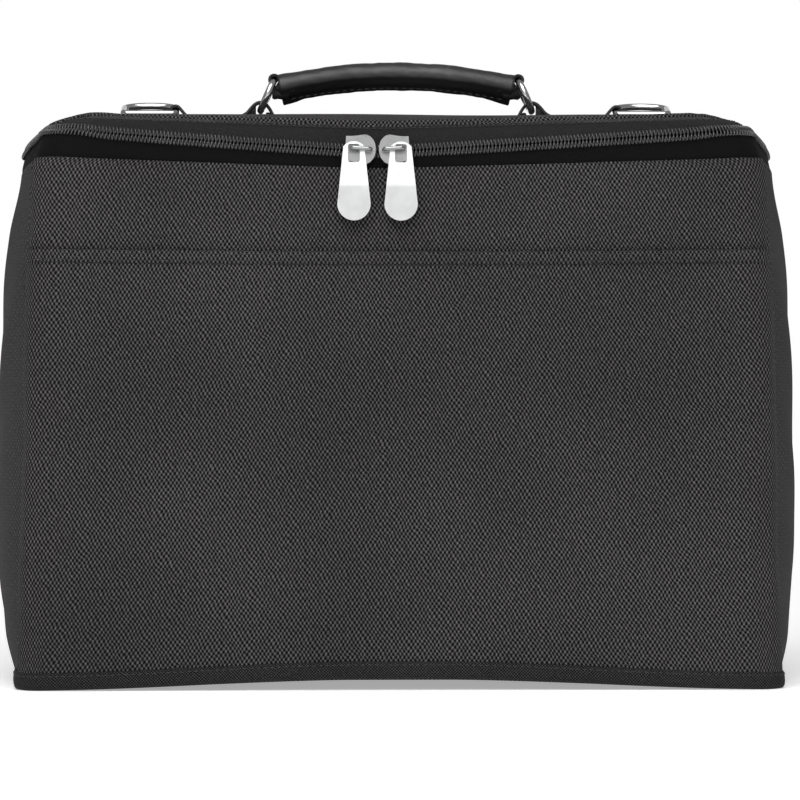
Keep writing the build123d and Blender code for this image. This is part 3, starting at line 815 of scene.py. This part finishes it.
def lid_edge():
    """Turned edge of the ballistic cloth, sewn down on the border."""
    s = all_round(24, 260, 24, 110, 24, 260, 24, 110)
    z = sewn_line(s, LID_SEAM)
    wave = 0.25 * ripple(surface(s, z)[:, 0], surface(s, z)[:, 1], 43, 12, 60)[:, None]
    n = normal(s, z + 2.0)
    line = surface(s, z + 2.3) - n * (0.9 - wave)
    obj = tube("lid_edge_fold", line, n, 2.45, sides=18, closed=True)
    # The turned edge gets the lid's lighter copy of the weave too: painted light.
    finish_piece(obj, LID_PAINTED_LIGHT_BALLISTIC, "lid", "ballistic_nylon")
    sewn = surface(s, z - 0.9) + normal(s, z - 0.9) * 0.75
    row = stitches("lid_edge_stitches", sewn, normal(s, z - 0.9), 2.3, 1.0, 0.3)
    finish_piece(row, THREAD, "lid", "plain_nylon")


lid_edge()


def hinge_cloth():
    """Cloth along the back, between the bag and the lid."""
    spans = [(3.72, 4, 14), (4, 5, 20), (5, 6, 120), (6, 7, 20)]
    s = np.concatenate([np.linspace(*span)[:-1] for span in spans] + [np.linspace(7, 7.28, 14)])
    s = s[surface(s, ZIP_PLAN_Z)[:, 1] > ZIP_END_Y - 2]
    grid = band(s, 263.2, 282.5, 16, lambda g, v, b: -0.35 * np.sin(pi * v) - 0.2)
    obj = cloth_piece("hinge_cloth", grid, LIGHT_CLOTH)
    crease = ((0, 0.0725, 0.2700), (0, 0.0520, 0.2805))  # metres: all the bag's, then all the lid's
    finish_piece(obj, PLAIN, crease, "plain_nylon", "hinge_cloth_lower", "hinge_cloth_upper")


hinge_cloth()


# ---- inside ----------------------------------------------------------------------------------
def inside_shell():
    s = all_round(8, 70, 8, 30, 8, 70, 8, 30)
    rings = []
    top = sewn_line(s, PANEL_TOP)
    levels = [(top + 1.0, 1.6), (top - 3.0, 3.0), (top - 8.0, 5.6)]
    levels += [(14 + (top - 26) * k, 6.3) for k in np.linspace(1, 0, 25)]
    levels += [(8.5 + 0 * top, 8.5), (7.0 + 0 * top, 13.0)]
    for zz, inset in levels:
        base = surface(s, zz)
        nn = normal(s, zz) * [1, 1, 0]
        slack = 0.5 * ripple(base[:, 0] + base[:, 1], base[:, 2], 51, 30, 90)[:, None]
        rings.append(base - nn * (inset + slack * (inset > 5)))
    rim = rings[-1]
    for k in (0.85, 0.6, 0.35, 0.1):
        ring = rim * [k, k, 1] + [0, 0, -0.6]
        rings.append(ring)
    grid = np.array(rings)
    obj = cloth_piece("lining_cloth", grid, -LINING_CLOTH, wrap=True)  # its rows run downward
    finish_piece(obj, LINING_MAT, "bag", "lining_cloth", "lining")


inside_shell()


def lid_underside():
    grid = lid_grid(-1.5, rows=20)
    inner = grid - np.array([0, 0, 5.2])
    inner = inner * [0.975, 0.95, 1]
    rim = grid[0] * [0.992, 0.985, 1] - [0, 0, 1.0]
    grid = np.concatenate([rim[None], inner])
    obj = cloth_piece("lid_lining_cloth", grid, LINING_CLOTH, wrap=True)
    plan_uv(obj, **LID_WEAVE)
    finish_piece(obj, LINING_MAT, "lid", "lining_cloth", "lid_lining")


lid_underside()


def end_tab(side):
    sign = -1 if side == "left" else 1
    s = np.linspace(3.74, 3.90, 12) if sign > 0 else np.linspace(7.10, 7.26, 12)
    grid = band(s, 260.4, 274.9, 10, lambda g, v, b: 1.0 + 0.3 * edge_fade(v, 0.2))
    obj = cloth_piece(f"{side}_zip_end_tab_cloth", grid, TAB_CLOTH)
    finish_piece(obj, BINDING_MAT, "bag", "plain_nylon", f"{side}_zip_end_tab")


end_tab("left")
end_tab("right")


# ---- handle and webbing ----------------------------------------------------------------------
HANDLE_Y = 4.0  # the handle's plane
SEAT_Z = 285.4  # top of the lid under the anchors
WEB = 1.5  # thickness of the webbing


def ribbon(name, path, widths, thick, material, body, slot, *replaced):
    """Webbing along a path in the XZ plane, given as (x, z), its width across Y."""
    path = np.asarray(path, float)
    fine = np.linspace(0, len(path) - 1, (len(path) - 1) * 4 + 1)
    steps = np.arange(len(path))
    xz = np.stack([np.interp(fine, steps, path[:, k]) for k in range(2)], 1)
    for _ in range(3):
        xz[1:-1] = 0.25 * xz[:-2] + 0.5 * xz[1:-1] + 0.25 * xz[2:]
    wide = np.interp(fine, steps, widths)
    cols = 9
    offsets = np.linspace(-0.5, 0.5, cols)
    grid = np.zeros((len(xz), cols, 3))
    grid[..., 0] = xz[:, :1]
    grid[..., 1] = HANDLE_Y + wide[:, None] * offsets[None, :]
    grid[..., 2] = xz[:, 1:]
    obj = cloth_piece(name, grid, thick)
    finish_piece(obj, material, body, slot, *replaced)


def mirrored(path, sign):
    """Points or sections, with the X that starts each turned over when sign is -1."""
    return [(sign * x, *others) for x, *others in path]


def gathered(name, sections, body):
    """Webbing bunched into a solid end; sections are (x, z, half depth, half height)."""
    cols = 28
    angle = np.linspace(0, 2 * pi, cols, endpoint=False)
    rings = []
    for k, (x, z, deep, high) in enumerate(sections):
        crumple = 1 + 0.05 * np.sin(3 * angle + 1.7 * k) + 0.04 * np.sin(7 * angle + k)
        y = HANDLE_Y + deep * np.sign(np.cos(angle)) * np.abs(np.cos(angle)) ** 0.7
        up = high * np.sign(np.sin(angle)) * np.abs(np.sin(angle)) ** 0.8 * crumple
        rings.append(np.stack([np.full(cols, x), y, z + up], -1))
    points = np.array(rings).reshape(-1, 3)
    rows = len(sections)
    leftward = sections[0][0] > sections[-1][0]
    faces = grid_faces(rows, cols, wrap=True, flip=leftward)
    caps = [tuple(range(cols)), tuple(range((rows - 1) * cols, rows * cols))[::-1]]
    faces += caps if leftward else [cap[::-1] for cap in caps]
    uvs = np.stack([points[:, 1], points[:, 2] + points[:, 0]], -1)
    finish_piece(link_mesh(name, points, faces, uvs), WEBBING, body, "webbing")


def anchor(side):
    """Webbing strip sewn on the lid with a loop for each ring."""
    sign = -1 if side == "left" else 1
    low = SEAT_Z + 0.1
    angle = np.linspace(-60, 165, 9)
    around_d = [
        (113.0 + 3.3 * sin(radians(a)), SEAT_Z + 4.0 + 3.2 * cos(radians(a))) for a in angle[::-1]
    ]
    flat = [(106.5, low + 1.0), (103, low + 1.1), (94, low + 1.2), (84, low + 1.2)]
    flat += [(79.5, low + 1.5)]
    tent = [(76.8, low + 3.2), (74.6, low + 6.2), (72.2, low + 8.4), (69.2, low + 9.2)]
    tent += [(66.2, low + 8.0), (64.0, low + 5.0), (62.8, low + 2.6), (62.0, low + 0.8)]
    widths = [7.4] * len(around_d) + [9, 13, 20, 20, 15] + [11, 9.4, 9, 9, 9, 9, 9.5, 10]
    name = f"{side}_anchor"
    strip = mirrored(around_d + flat + tent, sign)
    ribbon(f"{name}_webbing", strip, widths, WEB * sign, WEBBING, "lid", "webbing", name)
    base = [(110, low - 0.9), (104, low - 0.6), (92, low - 0.4), (78, low - 0.2)]
    base += [(70, low), (62, low)]
    base_widths = [8, 14, 20.5, 20.5, 13, 9.4]
    ribbon(f"{name}_base", mirrored(base, sign), base_widths, 1.0 * sign, WEBBING, "lid", "webbing")
    wedge = [(79.0, low + 0.9, 4.4, 0.8), (77.0, low + 1.7, 4.3, 1.7), (74.6, low + 3.1, 4.2, 3.0),
             (72.6, low + 4.2, 4.0, 3.6), (71.9, low + 4.0, 3.7, 3.0)]
    gathered(f"{name}_gather", mirrored(wedge, sign), "lid")
    heel = [(62.0, low + 0.7, 4.0, 0.7), (64.0, low + 1.3, 3.8, 1.2), (65.6, low + 1.7, 3.5, 1.5),
            (66.8, low + 1.8, 3.0, 1.2)]
    gathered(f"{name}_heel", mirrored(heel, sign), "lid")
    box_path = [(80, -7.6), (101, -7.6), (101, 7.6), (80, 7.6)]  # a sewn box, then its cross
    box_path += [(80, -7.6), (101, 7.6), (101, -7.6), (80, 7.6)]
    box_path = np.array([(x, HANDLE_Y + y, low + 1.45) for x, y in mirrored(box_path, sign)])
    sides = zip(box_path[:-1], box_path[1:])
    dense = np.concatenate([np.linspace(a, b, 12)[:-1] for a, b in sides])
    up = np.tile([0, 0, 1.0], (len(dense), 1))
    sewn = stitches(f"{name}_stitches", dense, up, 2.0, 0.8, 0.28)
    finish_piece(sewn, THREAD, "lid", "plain_nylon")


anchor("left")
anchor("right")

GRIP_HALF, GRIP_END_Z, GRIP_RISE = 59.6, 301.4, 6.8  # the leather reaches past its core


def grip_line(t):
    """Handle centre line; t runs from -1 to 1."""
    radius = (GRIP_HALF**2 + GRIP_RISE**2) / (2 * GRIP_RISE)
    half = np.arcsin(GRIP_HALF / radius)
    a = t * half
    x = radius * np.sin(a)
    z = GRIP_END_Z + GRIP_RISE - radius * (1 - np.cos(a))
    return x, z, a


def grip():
    """Leather folded round a core: a rolled top, a lapped edge and a flat sewn flange below."""
    rows, cols = 121, 56
    t = np.linspace(-1, 1, rows)
    x, z, a = grip_line(t)
    angle = np.linspace(0, 2 * pi, cols, endpoint=False) - pi / 2
    end = smooth(np.abs(t), 0.78, 1.0)
    points = np.zeros((rows, cols, 3))
    for c, ang in enumerate(angle):
        across, up = cos(ang), sin(ang)
        wide = 6.7 + 0.5 * end
        high = 6.2 + 0.5 * end
        lobe = np.exp(-((ang + pi / 2) / 0.42) ** 2)
        y = across * wide * (1 - 0.28 * max(0.0, -up) ** 2)
        h = up * high - lobe * (2.0 + 0.6 * end)
        lap = 0.55 * smooth(-up, 0.38, 0.46) * (across < 0)
        y = y - across * lap
        h = h + lap * 0.3
        wrinkle = 0.16 * ripple(t * 60, ang * 6.5, 61, 9, 34, 12)
        wrinkle = wrinkle + 0.05 * ripple(t * 60, ang * 6.5, 62, 3, 7, 12)
        y = y + across * wrinkle
        h = h + up * wrinkle
        points[:, c, 0] = x + np.sin(a) * h
        points[:, c, 1] = HANDLE_Y + y
        points[:, c, 2] = z + np.cos(a) * h
    faces = grid_faces(rows, cols, wrap=True)
    flat = points.reshape(-1, 3)
    extra = []
    for row, flip in ((0, True), (rows - 1, False)):
        centre = points[row].mean(0)
        outward = -1 if row == 0 else 1
        tangent = np.array([cos(a[row]), 0, -sin(a[row])]) * outward
        rim = points[row] + (centre - points[row]) * 0.08 + tangent * 0.35
        start = len(flat) + len(extra)
        extra.extend(rim)
        extra.append(centre + tangent * 0.3)
        for c in range(cols):
            d = (c + 1) % cols
            first, second = row * cols + c, row * cols + d
            quad = (first, second, start + d, start + c)
            faces.append(quad[::-1] if flip else quad)
            tri = (start + c, start + d, start + cols)
            faces.append(tri[::-1] if flip else tri)
    uv_u = np.repeat((t * 58)[:, None], cols, 1)
    uv_v = np.repeat((angle * 6.8)[None, :], rows, 0)
    uvs = np.stack([uv_u, uv_v], -1).reshape(-1, 2)
    uvs = np.concatenate([uvs, np.zeros((len(extra), 2))])
    obj = link_mesh("grip_leather_wrap", np.concatenate([flat, np.array(extra)]), faces, uvs)
    finish_piece(obj, LEATHER, "handle", "grip_leather", "handle_grip", "handle_core")
    drop = -7.2
    in_front = np.full_like(x, HANDLE_Y - 2.35)
    line = np.stack([x + np.sin(a) * drop, in_front, z + np.cos(a) * drop], 1)
    out = np.tile([0, -1.0, 0], (rows, 1))
    sewn = stitches("grip_stitches", line[3:-3], out[3:-3], 2.6, 1.2, 0.3)
    finish_piece(sewn, THREAD, "handle", "plain_nylon")


grip()


def hand_loop(side):
    """Webbing from inside the grip round the top of its ring."""
    sign = -1 if side == "left" else 1
    path = [(52.0, 303.4), (56.0, 304.6), (59.2, 306.6), (61.4, 308.2), (63.4, 308.3)]
    path += [(65.2, 307.2), (65.8, 305.2), (65.2, 303.2), (63.6, 301.4), (61.4, 299.9)]
    path += [(58.6, 298.9), (55.0, 298.9), (52.0, 299.2)]
    widths = [11, 11, 10.6, 10, 9.6, 9.4, 9.4, 9.6, 10, 10.4, 10.8, 11, 11]
    name = f"{side}_hand_loop"
    strip = mirrored(path, sign)
    ribbon(f"{name}_webbing", strip, widths, -WEB * sign, WEBBING, "handle", "webbing", name)
    bunch = [(55.0, 300.6, 5.0, 4.8), (59.0, 300.2, 5.0, 4.8), (61.0, 299.4, 4.8, 4.0)]
    bunch += [(62.6, 298.0, 4.4, 2.6), (63.6, 297.2, 4.0, 1.2)]
    gathered(f"{name}_gather", mirrored(bunch, sign), "handle")


hand_loop("left")
hand_loop("right")


# ---- metal parts from the frame --------------------------------------------------------------
def polish(node, material, width=0.0):
    """Gives a CAD part its metal and, where it has sharp edges, softens them."""
    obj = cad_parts[node]
    obj.data.materials.clear()
    obj.data.materials.append(material)
    obj.data.polygons.foreach_set("material_index", [0] * len(obj.data.polygons))
    if width:
        bevel = obj.modifiers.new("soft_edges", "BEVEL")
        bevel.width = width * MM
        bevel.segments = 3
        bevel.limit_method = "ANGLE"
        bevel.angle_limit = radians(42)
        bevel.harden_normals = False


for side in ("left", "right"):
    polish(f"{side}_handle_ring", POLISHED)
    polish(f"{side}_strap_ring", POLISHED)
    polish(f"{side}_slider", CAST, 0.35)
    polish(f"{side}_pull", SATIN, 0.35)


# ---- stage, lights, camera -------------------------------------------------------------------
def stage():
    mesh = bpy.data.meshes.new("floor")
    size = 6.0
    corners = [(-size, -size, 0), (size, -size, 0), (size, size, 0), (-size, size, 0)]
    mesh.from_pydata(corners, [], [(0, 1, 2, 3)])
    floor = bpy.data.objects.new("floor", mesh)
    bpy.context.scene.collection.objects.link(floor)
    n = Nodes("studio_floor")
    n.set(Base_Color=(0.93, 0.93, 0.93, 1.0), Roughness=0.8)
    n.shader.inputs["Emission Color"].default_value = (1, 1, 1, 1)
    split = n.node("ShaderNodeSeparateXYZ")
    n.put(split.inputs[0], n.node("ShaderNodeTexCoord").outputs["Object"])
    glow = n.span(split.outputs[1], 0.4, 3.0, 0.36, 0.85)  # the far floor is lit too
    n.set(Emission_Strength=glow)
    n.shader.inputs["Specular IOR Level"].default_value = 0.1
    floor.data.materials.append(n.material)


def area_light(name, place, aim, size, power, size_y=None):
    light = bpy.data.lights.new(name, "AREA")
    light.shape = "RECTANGLE"
    light.size = size
    light.size_y = size_y or size
    light.energy = power
    obj = bpy.data.objects.new(name, light)
    obj.location = place
    obj.rotation_euler = (Vector(aim) - Vector(place)).to_track_quat("-Z", "Y").to_euler()
    bpy.context.scene.collection.objects.link(obj)


def lights():
    world = bpy.data.worlds.new("studio")
    bpy.context.scene.world = world
    world.use_nodes = True
    tree = world.node_tree
    background = tree.nodes["Background"]
    sky = tree.nodes.new("ShaderNodeTexCoord")
    split = tree.nodes.new("ShaderNodeSeparateXYZ")
    tree.links.new(sky.outputs["Generated"], split.inputs[0])
    level = tree.nodes.new("ShaderNodeMapRange")
    tree.links.new(split.outputs[1], level.inputs[0])
    for k, value in enumerate((0.72, 0.97, 0.24, 1.0)):  # white behind the bag, dim elsewhere
        level.inputs[k + 1].default_value = value
    background.inputs[0].default_value = (1, 1, 1, 1)
    tree.links.new(level.outputs[0], background.inputs[1])
    area_light("key_top", (-0.3, -1.5, 2.4), (0, 0, 0.16), 2.2, 44)
    area_light("front_fill", (-0.3, -3.2, 0.9), (0, 0, 0.14), 2.8, 12)
    area_light("near_top", (-0.05, -0.75, 1.05), (0, 0, 0.2), 0.9, 3.6)
    bpy.context.scene.view_settings.view_transform = "Standard"


def camera():
    data = bpy.data.cameras.new("camera")
    data.lens = 180.0
    data.sensor_width = 36.0
    data.clip_end = 50
    cam = bpy.data.objects.new("camera", data)
    elevation = radians(0.6)
    azimuth = radians(-1.5)
    aim = Vector((-0.0005, -0.092, 0.1421))
    distance = 1.96
    away = Vector((sin(azimuth) * cos(elevation), -cos(azimuth) * cos(elevation), sin(elevation)))
    cam.location = aim + away * distance
    cam.rotation_euler = (aim - cam.location).to_track_quat("-Z", "Y").to_euler()
    bpy.context.scene.collection.objects.link(cam)
    bpy.context.scene.camera = cam


stage()
lights()
camera()
